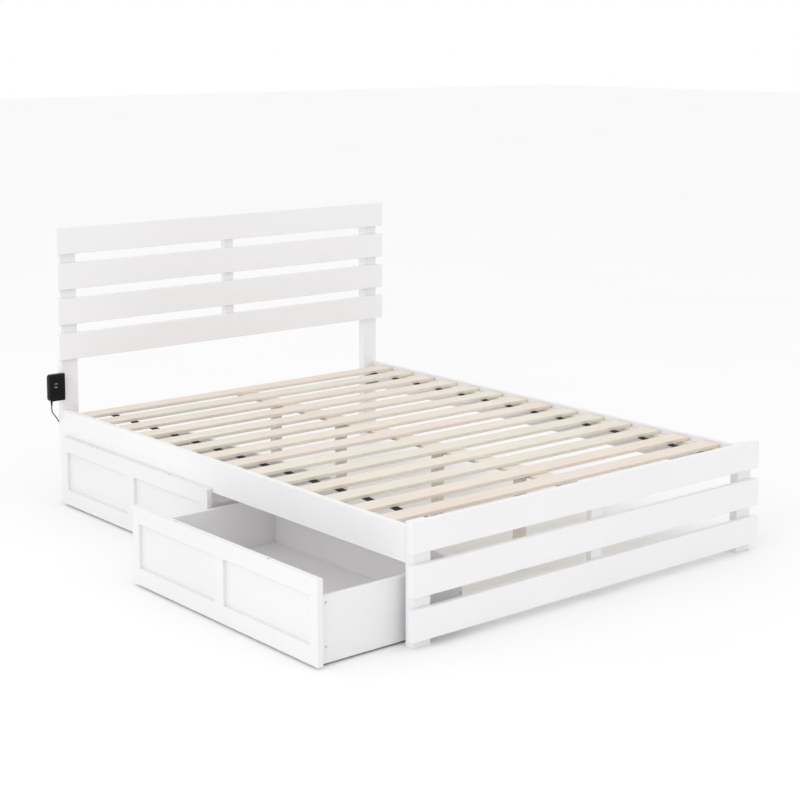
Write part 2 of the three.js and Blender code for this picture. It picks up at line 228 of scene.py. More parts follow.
def rounded_outline(middle_x, middle_z, half_x, half_z, *corners, steps=4):
    """A closed rectangle in XZ, with one radius for all its corners or one for each."""
    points = []
    for quarter, corner in enumerate(corners if len(corners) == 4 else corners * 4):
        side_x = 1 if quarter in (0, 3) else -1
        side_z = 1 if quarter in (0, 1) else -1
        for step in range(steps + 1):
            angle = math.pi / 2 * (quarter + step / steps)
            points.append((middle_x + side_x * (half_x - corner) + corner * math.cos(angle),
                           middle_z + side_z * (half_z - corner) + corner * math.sin(angle)))
    return points


def span(mesh, ring, next_ring):
    """Faces between two closed rings of as many points."""
    for i in range(len(ring)):
        mesh.faces.new((ring[i - 1], ring[i], next_ring[i], next_ring[i - 1]))


def ring_edges(mesh, ring):
    """The edges round a ring of points, made where they aren't there yet."""
    pairs = list(zip(ring, ring[1:] + ring[:1]))
    return [mesh.edges.get(pair) or mesh.edges.new(pair) for pair in pairs]


def thicken(mesh, thickness):
    """A flat mesh made solid towards +Y."""
    made = bmesh.ops.extrude_face_region(mesh, geom=mesh.faces[:])
    bmesh.ops.translate(mesh, vec=(0, thickness, 0),
                        verts=[g for g in made["geom"] if isinstance(g, bmesh.types.BMVert)])


def add_box(mesh, low, high):
    """A block between two corners, as its points."""
    points = bmesh.ops.create_cube(mesh, size=1.0)["verts"]
    for point in points:
        point.co = [low[k] + (point.co[k] + 0.5) * (high[k] - low[k]) for k in range(3)]
    return points


def mesh_data(mesh, name, turn_out=True):
    """Plain mesh data from a worked mesh, with its faces turned outwards if asked."""
    if turn_out:
        bmesh.ops.recalc_face_normals(mesh, faces=mesh.faces)
    data = bpy.data.meshes.new(name)
    mesh.to_mesh(data)
    mesh.free()
    return data


def band_mesh(name, inside, outside, y_from, y_to):
    """A closed band between two outlines in XZ, from one y to another."""
    mesh = bmesh.new()
    rows = [[mesh.verts.new((x, y, z)) for x, z in outline]
            for y in (y_from, y_to) for outline in (inside, outside)]
    for a, b in ((0, 1), (1, 3), (3, 2), (2, 0)):
        span(mesh, rows[a], rows[b])
    return mesh_data(mesh, name)


def soft_box(low, high, rounding, segments=3):
    """A block between two corners with rounded edges."""
    mesh = bmesh.new()
    add_box(mesh, low, high)
    bmesh.ops.bevel(mesh, geom=mesh.edges[:], offset=rounding, segments=segments, profile=0.5,
                    affect="EDGES")
    return mesh_data(mesh, "soft_box", turn_out=False)


def finish_piece(piece, body, nodes=()):
    """The piece rides on its body and stands for its CAD nodes."""
    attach(piece, body)
    if nodes:
        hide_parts(*nodes)


def new_piece(name, data, material, smooth=True):
    piece = link_object(name, data)
    data.materials.clear()
    data.materials.append(material)
    if smooth:
        data.shade_smooth()
    return piece


# The tie round the coil, a band of hook-and-loop tape with rounded corners.
tie_width, tie_thickness = 0.010, 0.0006
bundle_half = ((coil_outer_turn - coil_inner_turn + cord_diameter) / 2 + 0.0002,
               (coil_upper - coil_lower + cord_diameter) / 2 + 0.00005)
bundle = (coil_centre.x - (coil_outer_turn + coil_inner_turn) / 2, (coil_lower + coil_upper) / 2)
corner = 0.0022
tie_mesh = band_mesh(
    "cord_tie", rounded_outline(*bundle, *bundle_half, corner),
    rounded_outline(*bundle, *(h + tie_thickness for h in bundle_half), corner + tie_thickness),
    coil_centre.y - tie_width / 2, coil_centre.y + tie_width / 2)
tie_tape = moulded_material("tie_tape", (0.02, 0.02, 0.021), (0.05, 0.05, 0.052),
                            0.85, 0.95, 2500.0, 0.0004)
tie = new_piece("cord_tie", tie_mesh, tie_tape, smooth=False)

# The plug: a soft black moulding with two flat nickel blades, and a ribbed
# relief where the lead comes in.
plug_relief, plug_body, blade_length = 0.020, 0.033, 0.016
blade_pitch, blade_width, blade_height = 0.0127, 0.0016, 0.0064


def loft(name, sections, sides, power):
    """A skin along X over sections of (x, half width, half height), with a squarish outline."""
    mesh = bmesh.new()
    rings = []
    for x, half_y, half_z in sections:
        ring = []
        for i in range(sides):
            angle = 2 * math.pi * (i + 0.5) / sides
            c, s = math.cos(angle), math.sin(angle)
            ring.append(mesh.verts.new((x, half_y * math.copysign(abs(c) ** power, c),
                                        half_z * math.copysign(abs(s) ** power, s))))
        rings.append(ring)
    for a, b in zip(rings, rings[1:]):
        span(mesh, a, b)
    mesh.faces.new(rings[0][::-1])
    mesh.faces.new(rings[-1])
    return mesh_data(mesh, name)


relief_sections = [(0, 0.0027, 0.0027)]
rib_count = 6
for rib in range(rib_count):
    start = 0.001 + rib * (plug_relief - 0.002) / rib_count
    swell = 0.0029 + 0.0013 * rib / rib_count
    relief_sections += [(start + along, swell + thicker, swell + thicker) for along, thicker in
                        ((0, 0), (0.0019, 0.0002), (0.0021, -0.0007), (0.0029, -0.0007))]
half_wide, half_high = (plug_high.y - plug_low.y) / 2, (plug_high.z - plug_low.z) / 2
body_sections = [(plug_relief - 0.001, 0.004, 0.004), (plug_relief, 0.0062, 0.0045),
                 (plug_relief + 0.004, 0.0098, 0.0056), (plug_relief + 0.010, half_wide - 0.0008, 0.0064),
                 (plug_relief + 0.017, half_wide - 0.0012, half_high - 0.0008),
                 (plug_relief + 0.028, half_wide, half_high),
                 (plug_relief + plug_body - 0.0012, half_wide, half_high),
                 (plug_relief + plug_body, half_wide - 0.0012, half_high - 0.0012)]
plug_black = moulded_material("plug_plastic", (0.012, 0.012, 0.013), (0.024, 0.024, 0.025),
                              0.38, 0.52, 1400.0, 0.0002)
nickel = moulded_material("nickel", (0.52, 0.50, 0.46), (0.66, 0.64, 0.60),
                          0.22, 0.36, 700.0, 0.00003, metallic=1.0)


def join_meshes(name, parts):
    """One mesh from several, each with its material."""
    joined = bmesh.new()
    data = bpy.data.meshes.new(name)
    for index, (part, material) in enumerate(parts):
        first = len(joined.faces)
        joined.from_mesh(part)
        joined.faces.ensure_lookup_table()
        for face in joined.faces[first:]:
            face.material_index = index
        data.materials.append(material)
    joined.to_mesh(data)
    joined.free()
    return data


def blade_mesh(y):
    """One blade with the round hole near its tip."""
    mesh = bmesh.new()
    x0, x1 = plug_relief + plug_body - 0.001, plug_relief + plug_body + blade_length - 0.0001
    z0, z1 = -blade_height / 2, blade_height / 2
    tip, hole_setback, hole_radius = 0.0015, 0.004, 0.0016
    outline = [(x0, z0), (x1 - tip, z0), (x1, z0 + tip), (x1, z1 - tip), (x1 - tip, z1), (x0, z1)]
    hole = [(x1 - hole_setback + x, z) for x, z in circle(hole_radius, 16)]
    edges = []
    for ring in (outline, hole):
        edges += ring_edges(mesh, [mesh.verts.new((x, y - blade_width / 2, z)) for x, z in ring])
    bmesh.ops.triangle_fill(mesh, edges=edges, use_beauty=True)
    thicken(mesh, blade_width)
    return mesh_data(mesh, "blade")


plug_data = join_meshes("charger_lead_plug", [
    (loft("relief", relief_sections, 24, 1.0), plug_black),
    (loft("body", body_sections, 40, 0.45), plug_black),
    (blade_mesh(-blade_pitch / 2), nickel), (blade_mesh(blade_pitch / 2), nickel)])
for vertex in plug_data.vertices:
    vertex.co += Vector((plug_low.x, plug_middle.y, plug_middle.z))
plug = link_object("charger_lead_plug", plug_data)
plug_data.shade_smooth()
finish_piece(lead, "frame", ["charger_cord", "cord_coil"])
finish_piece(plug, "frame", ["charger_plug"])
finish_piece(tie, "frame")

# ---------------------------------------------------------------------------
# The headboard: four planed boards across the front of two posts and a centre
# stile, glued and screwed from the back, then sprayed with satin white
# lacquer. The soft wood's grain still shows faintly through the paint.
paint_round = 0.0022
grain_stretch = 0.93  # how much of a place's reach along the grain is taken off it
board_jump = (3.1, 5.7, 4.3)  # how far apart two boards are cut from the same wood


def grain_space(group):
    """Places in a board, stretched along its grain and shifted by its own number."""
    place = add_node(group, "ShaderNodeTexCoord").outputs["Object"]
    grain = add_node(group, "ShaderNodeAttribute", attribute_name="grain").outputs["Vector"]
    board = add_node(group, "ShaderNodeAttribute", attribute_name="board").outputs["Fac"]
    along = add_node(group, "ShaderNodeVectorMath", {0: place, 1: grain}, operation="DOT_PRODUCT")
    pull = calc(group, "MULTIPLY", along.outputs["Value"], grain_stretch)

    def vector_math(operation, inputs):
        return add_node(group, "ShaderNodeVectorMath", inputs, operation=operation).outputs[0]

    drawn = vector_math("SCALE", {0: grain, "Scale": pull})
    squeezed = vector_math("SUBTRACT", {0: place, 1: drawn})
    jump = vector_math("SCALE", {0: board_jump, "Scale": board})
    return place, board, vector_math("ADD", {0: squeezed, 1: jump})


def figure_group():
    """Wood figure: growth rings, fine fibres, small knots and a slow drift of tone."""
    group, given, results = new_group(
        "wood_figure", "ShaderNodeTree", dict.fromkeys(("Rings Per Board", "Knot Share"), "Float"),
        dict.fromkeys(("Rings", "Fibre", "Knot", "Drift", "Tone"), "Float"))
    place, board, space = grain_space(group)
    cells = add_node(group, "ShaderNodeTexVoronoi", {"Vector": space, "Scale": 13.0, "Randomness": 1.0})
    gap = calc(group, "ADD", cells.outputs["Distance"], 0.012)
    shade = add_node(group, "ShaderNodeSeparateColor", {"Color": cells.outputs["Color"]})
    chosen = calc(group, "LESS_THAN", shade.outputs["Red"], given["Knot Share"])
    knot = calc(group, "MULTIPLY", scaled(group, gap, 1.0, 0.0, 0.045, 0.085), chosen)
    bend = calc(group, "MULTIPLY", scaled(group, gap, 0.12, 0.0, 0.03, 0.35), chosen)
    height = add_node(group, "ShaderNodeTexNoise", {"Vector": space, "Scale": 9.0, "Detail": 1.5,
                                                    "Roughness": 0.4, "Distortion": 0.3})
    warped = calc(group, "ADD", height.outputs["Fac"], bend)
    layers = calc(group, "MULTIPLY", warped, given["Rings Per Board"])
    late = add_node(group, "ShaderNodeValToRGB", {"Fac": calc(group, "FRACT", layers)})
    ramp = late.color_ramp
    ramp.elements[0].position, ramp.elements[0].color = 0.0, (0.0, 0.0, 0.0, 1)
    ramp.elements[1].position, ramp.elements[1].color = 0.86, (1.0, 1.0, 1.0, 1)
    ramp.elements.new(0.5).color = (0.22, 0.22, 0.22, 1)
    ramp.elements.new(1.0).color = (0.0, 0.0, 0.0, 1)
    fibre = add_node(group, "ShaderNodeTexNoise", {"Vector": space, "Scale": 260.0, "Detail": 3.0,
                                                   "Roughness": 0.6})
    drift = add_node(group, "ShaderNodeTexNoise", {"Vector": place, "Scale": 2.6, "Detail": 2.0})
    for name, socket in [("Rings", late.outputs["Color"]), ("Fibre", fibre.outputs["Fac"]),
                         ("Knot", knot), ("Drift", drift.outputs["Fac"]), ("Tone", board)]:
        group.links.new(socket, results[name])
    return group


wood_figure = figure_group()


def painted(name, white, shade):
    """Satin lacquer over soft wood, with faint grain, orange peel and slightly uneven gloss."""
    material, tree, shader = new_material(name)
    out = add_node(tree, "ShaderNodeGroup", {"Rings Per Board": 26.0, "Knot Share": 0.05},
                   node_tree=wood_figure).outputs
    peel = add_node(tree, "ShaderNodeGroup", {"Grain Scale": 420.0}, node_tree=moulded_grain).outputs
    drift = mix(tree, scaled(tree, out["Drift"], 0.0, 1.0, 0.3, 0.7), white, shade)
    grained = mix(tree, scaled(tree, out["Rings"], 0.0, 0.05), drift, [c * 0.85 for c in shade])
    knotted = mix(tree, scaled(tree, out["Knot"], 0.0, 0.03), grained, (0.66, 0.60, 0.50))
    relief = calc(tree, "ADD", out["Fibre"], calc(tree, "MULTIPLY", out["Rings"], 0.45))
    dress(tree, shader, knotted, scaled(tree, out["Fibre"], 0.36, 0.50, 0.3, 0.7),
          calc(tree, "ADD", peel["Grain"], relief), 0.3, 0.00015)
    return material


frame_white = painted("frame_paint", (0.865, 0.858, 0.870), (0.845, 0.838, 0.850))


def finish_tree(tree, geometry, material, results):
    """The tree's result is this geometry in this material."""
    finished = add_node(tree, "GeometryNodeSetMaterial", {"Geometry": geometry.outputs["Geometry"],
                                                          "Material": material})
    tree.links.new(finished.outputs["Geometry"], results["Geometry"])
    return tree


def board_row_tree():
    """Boards of one size in a row, each with its grain's direction and its own number."""
    tree, given, results = new_group("board_row", "GeometryNodeTree", {
        "Size": "Vector", "Start": "Vector", "Step": "Vector", "Grain": "Vector", "Count": "Int",
        "Seed": "Int", "Material": "Material"}, {"Geometry": "Geometry"})
    board = add_node(tree, "GeometryNodeMeshCube", {"Size": given["Size"]})
    places = add_node(tree, "GeometryNodeMeshLine", {"Count": given["Count"], "Offset": given["Step"],
                                                     "Start Location": given["Start"]})
    number = add_node(tree, "FunctionNodeRandomValue", {"Seed": given["Seed"]}, data_type="FLOAT")
    numbered = add_node(tree, "GeometryNodeStoreNamedAttribute",
                        {"Geometry": places.outputs["Mesh"], "Name": "board",
                         "Value": first_open(number.outputs, "Value")}, data_type="FLOAT", domain="POINT")
    copies = add_node(tree, "GeometryNodeInstanceOnPoints", {"Points": numbered.outputs["Geometry"],
                                                             "Instance": board.outputs["Mesh"]})
    real = add_node(tree, "GeometryNodeRealizeInstances", {"Geometry": copies.outputs["Instances"]})
    grained = add_node(tree, "GeometryNodeStoreNamedAttribute",
                       {"Geometry": real.outputs["Geometry"], "Name": "grain", "Value": given["Grain"]},
                       data_type="FLOAT_VECTOR", domain="POINT")
    return finish_tree(tree, grained, given["Material"], results)


board_row = board_row_tree()
axes = {"x": Vector((1, 0, 0)), "y": Vector((0, 1, 0)), "z": Vector((0, 0, 1))}


def run_tree(name, tree, values, rounding=0.0, base=None):
    """A plain mesh object made by a geometry tree, with its long edges rounded if asked."""
    piece = link_object(name, base or bpy.data.meshes.new(name + "_base"))
    modifier = piece.modifiers.new("tree", "NODES")
    modifier.node_group = tree
    for item in tree.interface.items_tree:
        if item.in_out == "INPUT" and item.name in values:
            modifier[item.identifier] = values[item.name]
    if rounding:
        bevel = piece.modifiers.new("rounding", "BEVEL")
        bevel.width, bevel.segments = rounding, 3
        bevel.limit_method, bevel.angle_limit = "ANGLE", math.radians(40)
        bevel.harden_normals = True
    ready = piece.evaluated_get(bpy.context.evaluated_depsgraph_get())
    mesh = bpy.data.meshes.new_from_object(ready)
    piece.modifiers.clear()
    piece.data = mesh
    mesh.name = name
    return piece


def row_of_boards(name, low, high, grain, rounding, material, seed, step=(0, 0, 0), count=1):
    """Boards in a row, the first of them between two corners."""
    return run_tree(name, board_row, {
        "Size": high - low, "Start": (low + high) / 2, "Step": Vector(step), "Grain": axes[grain],
        "Count": count, "Seed": seed, "Material": material}, rounding)


def add_boards(name, nodes, grain, rounding, material, seed):
    """The boards that stand for these CAD nodes, which are alike and evenly spaced."""
    low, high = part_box(nodes[0])
    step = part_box(nodes[1])[0] - low if len(nodes) > 1 else (0, 0, 0)
    piece = row_of_boards(name, low, high, grain, rounding, material, seed, step, len(nodes))
    finish_piece(piece, "frame", nodes)


def fastener_tree():
    """A fastener on every point, with its head along the point's own direction."""
    tree, given, results = new_group(
        "fasteners", "GeometryNodeTree",
        {"Geometry": "Geometry", "Head": "Object", "Material": "Material", "Seed": "Int"},
        {"Geometry": "Geometry"})
    way_out = add_node(tree, "GeometryNodeInputNamedAttribute", {"Name": "way_out"},
                       data_type="FLOAT_VECTOR")
    turn = add_node(tree, "FunctionNodeAlignRotationToVector",
                    {"Vector": first_open(way_out.outputs, "Attribute")}, axis="Z")
    spin = add_node(tree, "FunctionNodeRandomValue", {"Max": 6.28, "Seed": given["Seed"]},
                    data_type="FLOAT")
    spun = add_node(tree, "ShaderNodeCombineXYZ", {"Z": first_open(spin.outputs, "Value")})
    both = add_node(tree, "FunctionNodeRotateRotation", {"Rotation": turn.outputs["Rotation"],
                                                         "Rotate By": spun.outputs["Vector"]},
                    rotation_space="LOCAL")
    head = add_node(tree, "GeometryNodeObjectInfo", {"Object": given["Head"]})
    copies = add_node(tree, "GeometryNodeInstanceOnPoints", {
        "Points": given["Geometry"], "Instance": head.outputs["Geometry"],
        "Rotation": both.outputs["Rotation"]})
    real = add_node(tree, "GeometryNodeRealizeInstances", {"Geometry": copies.outputs["Instances"]})
    return finish_tree(tree, real, given["Material"], results)


fasteners = fastener_tree()


def screw_head(name, radius, height, recess, depth):
    """A round head that stands height proud of z = 0, with a recess of that outline."""
    mesh = bmesh.new()
    below, mouth = [[mesh.verts.new((x, y, height)) for x, y in ring]
                    for ring in (circle(radius * 0.86), recess)]
    edges = ring_edges(mesh, below) + ring_edges(mesh, mouth)
    bmesh.ops.triangle_fill(mesh, edges=edges, use_beauty=True)
    floor_ring = [mesh.verts.new((x * 0.8, y * 0.8, height - depth)) for x, y in recess]
    span(mesh, mouth, floor_ring)
    mesh.faces.new(floor_ring)
    for wide, z in ((radius, height * 0.55), (radius, 0.0), (radius * 0.7, -0.0008)):
        ring = [mesh.verts.new((x, y, z)) for x, y in circle(wide)]
        span(mesh, below, ring)
        below = ring
    mesh.faces.new(below)
    return mesh_data(mesh, name)


def cross_outline(reach, half):
    """The outline of a cross recess, as 12 points."""
    quarter = [(reach, -half), (reach, half), (half, half)]
    points = []
    for k in range(4):
        c, s = round(math.cos(math.pi / 2 * k)), round(math.sin(math.pi / 2 * k))
        points += [(x * c - y * s, x * s + y * c) for x, y in quarter]
    return points


def add_fasteners(name, head, spots, material, body="frame", seed=1):
    """Heads at each spot, given as its place and the direction that it faces."""
    base = bpy.data.meshes.new(name + "_spots")
    base.from_pydata([place for place, _ in spots], [], [])
    ways = base.attributes.new("way_out", "FLOAT_VECTOR", "POINT")
    for i, (_, way) in enumerate(spots):
        ways.data[i].vector = way
    pattern = link_object(name + "_head", head)
    piece = run_tree(name, fasteners, {"Head": pattern, "Material": material, "Seed": seed}, base=base)
    bpy.data.objects.remove(pattern)
    finish_piece(piece, body)


zinc = moulded_material("zinc_plate", (0.42, 0.42, 0.41), (0.58, 0.58, 0.57),
                        0.28, 0.45, 500.0, 0.00005, metallic=1.0)
wood_screw = screw_head("wood_screw", 0.0040, 0.0005, cross_outline(0.0024, 0.0006), 0.0014)
backwards = Vector((0, 1, 0))


screw_rise, screw_aside, screw_from_top = 0.28, 0.16, 0.006


def panel_screws(boards, uprights):
    """Two screws where each board crosses each upright, driven from the back."""
    spots = []
    for upright in uprights:
        low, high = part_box(upright)
        for board in boards:
            board_low, board_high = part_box(board)
            for share, aside in ((screw_rise, screw_aside), (1 - screw_rise, -screw_aside)):
                z = board_low.z + share * (board_high.z - board_low.z)
                if z < high.z - screw_from_top:
                    x = (low.x + high.x) / 2 + aside * (high.x - low.x)
                    spots.append(((x, high.y, z), backwards))
    return spots


def add_end(end, board_count, upright, seed, screw_seed):
    """The headboard or footboard: its boards, its two uprights and its stile, and their screws."""
    boards = [f"{end}_board_{i}" for i in range(1, board_count + 1)]
    uprights = [f"{end}_{upright}_left", f"{end}_{upright}_right"]
    stile = [f"{end}_centre_stile"]
    parts = [("boards", boards, "x"), (upright + "s", uprights, "z"), ("stile", stile, "z")]
    for i, (part, nodes, grain) in enumerate(parts):
        add_boards(f"{end}board_{part}", nodes, grain, paint_round, frame_white, seed + i)
    add_fasteners(f"{end}board_screws", wood_screw, panel_screws(boards, uprights + stile), zinc,
                  seed=screw_seed)


add_end("head", 4, "post", seed=3, screw_seed=2)

# ---------------------------------------------------------------------------
# The footboard: three boards on two short legs and a centre stile, made and
# painted as the headboard is.
add_end("foot", 3, "leg", seed=7, screw_seed=4)

# ---------------------------------------------------------------------------
# The side rails, painted, each with a bare pine ledger glued and screwed along
# its inner face. Steel angle brackets and bolts fix them to the legs and posts.
add_boards("side_rails", ["side_rail_left", "side_rail_right"], "y", paint_round,
           frame_white, seed=11)


def pine(name, pale, dark, pink, green):
    """Planed pine: growth rings, fibres, knots, and a tone that changes from board to board."""
    material, tree, shader = new_material(name)
    out = add_node(tree, "ShaderNodeGroup", {"Rings Per Board": 30.0, "Knot Share": 0.13},
                   node_tree=wood_figure).outputs
    cool = mix(tree, scaled(tree, out["Tone"], 0.0, 1.0, 0.0, 0.45), green, pale)
    toned = mix(tree, scaled(tree, out["Tone"], 0.0, 1.0, 0.55, 1.0), cool, pink)
    drift = mix(tree, scaled(tree, out["Drift"], 0.0, 0.35, 0.3, 0.7), toned, dark)
    ringed = mix(tree, scaled(tree, out["Rings"], 0.0, 0.34), drift, dark)
    fibrous = mix(tree, scaled(tree, out["Fibre"], 0.16, 0.0, 0.35, 0.6), ringed, [c * 0.7 for c in dark])
    knotted = mix(tree, scaled(tree, out["Knot"], 0.0, 0.85), fibrous, (0.13, 0.06, 0.03))
    dress(tree, shader, knotted, scaled(tree, out["Rings"], 0.68, 0.52),
          calc(tree, "SUBTRACT", out["Fibre"], out["Rings"]), 0.4, 0.0004)
    return material


slat_pine = pine("slat_wood", (0.86, 0.80, 0.71), (0.72, 0.61, 0.49),
                 (0.85, 0.755, 0.70), (0.80, 0.80, 0.71))
support_pine = pine("support_wood", (0.84, 0.79, 0.71), (0.70, 0.62, 0.52),
                    (0.82, 0.75, 0.69), (0.80, 0.79, 0.71))
add_boards("slat_ledgers", ["slat_ledger_left", "slat_ledger_right"], "y", 0.0012,
           support_pine, seed=12)

plate_long, plate_tall, plate_thick, plate_round = 0.040, 0.050, 0.0022, 0.004
plate_drop = 0.006
bolt_rise, bolt_aside = 0.014, 0.006  # a plate's bolts, from its middle


def plate_mesh(width, height, thickness, rounding):
    """A flat steel plate in XZ with rounded corners, its back face at y = 0."""
    mesh = bmesh.new()
    outline = rounded_outline(0, 0, width / 2, height / 2, rounding)
    mesh.faces.new([mesh.verts.new((x, 0, z)) for x, z in outline])
    thicken(mesh, thickness)
    return mesh_data(mesh, "plate")


def turned(mesh, quarter_turns, place):
    """The mesh turned about Z by quarter turns and put in its place."""
    c, s = round(math.cos(math.pi / 2 * quarter_turns)), round(math.sin(math.pi / 2 * quarter_turns))
    for vertex in mesh.vertices:
        x, y, z = vertex.co
        vertex.co = Vector((x * c - y * s, x * s + y * c, z)) + Vector(place)
    return mesh


bracket_parts, bolt_spots = [], []
for side, leg, end_sign in [("left", "foot_leg_left", 1), ("right", "foot_leg_right", 1),
                            ("left", "head_post_left", -1), ("right", "head_post_right", -1)]:
    rail_low, rail_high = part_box(f"side_rail_{side}")
    leg_low, leg_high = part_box(leg)
    inward = 1 if side == "left" else -1
    face_x = rail_high.x if side == "left" else rail_low.x
    face_y = leg_high.y if end_sign > 0 else leg_low.y
    middle_z = rail_low.z + plate_drop + plate_tall / 2
    rail_turn = -1 if side == "left" else 1
    leg_turn = 0 if end_sign > 0 else 2
    rail_spot = Vector((face_x, face_y + end_sign * (plate_long / 2), middle_z))
    leg_spot = Vector((face_x + inward * (plate_long / 2), face_y, middle_z))
    for turn, spot in ((rail_turn, rail_spot), (leg_turn, leg_spot)):
        plate = plate_mesh(plate_long, plate_tall, plate_thick, plate_round)
        bracket_parts.append((turned(plate, turn, spot), zinc))
    for up in (-bolt_rise, bolt_rise):
        bolt_spots += [(rail_spot + Vector((inward * plate_thick, end_sign * bolt_aside, up)),
                        Vector((inward, 0, 0))),
                       (leg_spot + Vector((inward * bolt_aside, end_sign * plate_thick, up)),
                        Vector((0, end_sign, 0)))]
brackets = link_object("corner_brackets", join_meshes("corner_brackets", bracket_parts))
finish_piece(brackets, "frame")
bracket_screw = screw_head("bracket_screw", 0.0045, 0.0018, cross_outline(0.0026, 0.0007), 0.0016)
add_fasteners("bracket_screws", bracket_screw, bolt_spots, zinc, seed=6)

ledger_spots = []
for side, inward in (("left", 1), ("right", -1)):
    low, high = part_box(f"slat_ledger_{side}")
    face_x = high.x if side == "left" else low.x
    count = 12
    for i in range(count):
        y = low.y + (i + 0.5) * (high.y - low.y) / count
        ledger_spots.append(((face_x, y, (low.z + high.z) / 2), Vector((inward, 0, 0))))
add_fasteners("ledger_screws", wood_screw, ledger_spots, zinc, seed=8)

# ---------------------------------------------------------------------------
# The deck: pine slats that come rolled up, stapled from below to two black
# woven straps which keep them apart. They lie loose on the ledgers.
slat_names = [f"slat_{i:02d}" for i in range(1, 15)]
add_boards("deck_slats", slat_names, "x", 0.0016, slat_pine, seed=21)


def webbing_material():
    """Black woven webbing: fine ribs across, thread by thread, with painted shade between the threads,
    lighter thread tops, and grey specks that are partly dust and partly painted sheen.
    """
    material, tree, shader = new_material("webbing")
    place = add_node(tree, "ShaderNodeTexCoord").outputs["Object"]
    ribs = add_node(tree, "ShaderNodeTexWave", {"Vector": place, "Scale": 140.0, "Distortion": 0.3},
                    wave_type="BANDS", bands_direction="Y")
    warp = add_node(tree, "ShaderNodeTexWave", {"Vector": place, "Scale": 105.0, "Distortion": 0.2},
                    wave_type="BANDS", bands_direction="X")
    weave = calc(tree, "MULTIPLY", ribs.outputs["Fac"], warp.outputs["Fac"])
    fuzz = add_node(tree, "ShaderNodeTexNoise", {"Vector": place, "Scale": 900.0, "Detail": 2.0})
    # Painted shade and highlight: the weave's gaps darker and the thread tops lighter.
    colour = mix(tree, weave, (0.006, 0.006, 0.007), (0.028, 0.028, 0.030))
    # Grey specks from noise, partly dust and partly a painted sheen.
    dust_and_sheen = mix(tree, scaled(tree, fuzz.outputs["Fac"], 0.0, 0.5, 0.5, 0.8), colour, (0.06, 0.06, 0.062))
    dress(tree, shader, dust_and_sheen, scaled(tree, weave, 0.95, 0.75), weave, 0.8, 0.0005)
    return material


webbing_black = webbing_material()
strap_sag, strap_gauge = 0.0022, 0.0013
slat_low, slat_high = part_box(slat_names[0])
slat_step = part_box(slat_names[1])[0].y - slat_low.y
slat_wide = slat_high.y - slat_low.y


def strap_mesh(name, node):
    """A strap that lies flat under each slat and sags a little across each gap."""
    low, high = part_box(node)
    mesh = bmesh.new()
    rows = []
    steps_per_gap, across = 8, 6
    lines = []
    for i in range(len(slat_names)):
        start = slat_low.y + i * slat_step
        lines += [(start, 0.0), (start + slat_wide, 0.0)]
        if i < len(slat_names) - 1:
            gap = slat_step - slat_wide
            lines += [(start + slat_wide + gap * k / steps_per_gap, math.sin(math.pi * k / steps_per_gap))
                      for k in range(1, steps_per_gap)]
    for y, drop in lines:
        z = high.z - strap_gauge - strap_sag * drop
        rows.append([mesh.verts.new((low.x + (high.x - low.x) * k / across, y, z))
                     for k in range(across + 1)])
    for a, b in zip(rows, rows[1:]):
        for k in range(across):
            mesh.faces.new((a[k], a[k + 1], b[k + 1], b[k]))
    return mesh_data(mesh, name, turn_out=False)


for side in ("left", "right"):
    node = f"slat_strap_{side}"
    strap = new_piece(f"deck_strap_{side}", strap_mesh(f"deck_strap_{side}", node), webbing_black)
    thick = strap.modifiers.new("gauge", "SOLIDIFY")
    thick.thickness, thick.offset = strap_gauge, 1.0
    finish_piece(strap, "frame", [node])

staple_mesh = soft_box((-0.0050, -0.0006, 0), (0.0050, 0.0006, 0.0007), 0.0002, segments=1)
staple_reach = 0.012  # from a slat's middle to each of its two staples, both ways
staple_spots = []
for side in ("left", "right"):
    low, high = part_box(f"slat_strap_{side}")
    for i in range(len(slat_names)):
        for across in (-staple_reach, staple_reach):
            y = slat_low.y + i * slat_step + slat_wide / 2 + across
            staple_spots.append((((low.x + high.x) / 2 + across, y, high.z - strap_gauge - 0.0001),
                                 Vector((0, 0, -1))))
add_fasteners("strap_staples", staple_mesh, staple_spots, zinc, seed=9)

# ---------------------------------------------------------------------------
# The centre support: a pine beam under the middle of the slats, on four square
# legs that stand on grey plastic glides and are screwed on through the beam.
add_boards("centre_beam_board", ["centre_beam"], "y", 0.0012, support_pine, seed=31)
glide_height, glide_inset = 0.004, 0.003
glide_grey = moulded_material("glide_plastic", (0.30, 0.30, 0.30), (0.38, 0.38, 0.38),
                              0.5, 0.65, 900.0, 0.0001)


def standing_leg(name, node, seed):
    """A leg shortened by its glide, with the glide as a rounded foot under it."""
    low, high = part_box(node)
    glide_top = low.z + glide_height
    leg = row_of_boards(name, Vector((low.x, low.y, glide_top)), high, "z", 0.0014, support_pine, seed)
    finish_piece(leg, "frame", [node])
    foot = row_of_boards(name + "_glide", low + Vector((glide_inset, glide_inset, 0)),
                         Vector((high.x - glide_inset, high.y - glide_inset, glide_top)),
                         "z", 0.0012, glide_grey, seed)
    finish_piece(foot, "frame")


for i in range(1, 5):
    standing_leg(f"centre_leg_piece_{i}", f"centre_leg_{i}", 40 + i)

# ---------------------------------------------------------------------------
# The drawers: boxes of painted boards on four small wheels. The front is a
# framed panel, with stiles and rails glued round two sunk panels, and hides
# the box behind it. Nothing but the wheels carries them.
drawer_white = painted("drawer_paint", (0.825, 0.818, 0.828), (0.800, 0.793, 0.803))
front_joint, box_round = 0.0009, 0.0014
end_stile, centre_stile, top_rail, bottom_rail = 0.040, 0.050, 0.056, 0.058
panel_recess, panel_lap, panel_back = 0.012, 0.002, 0.001


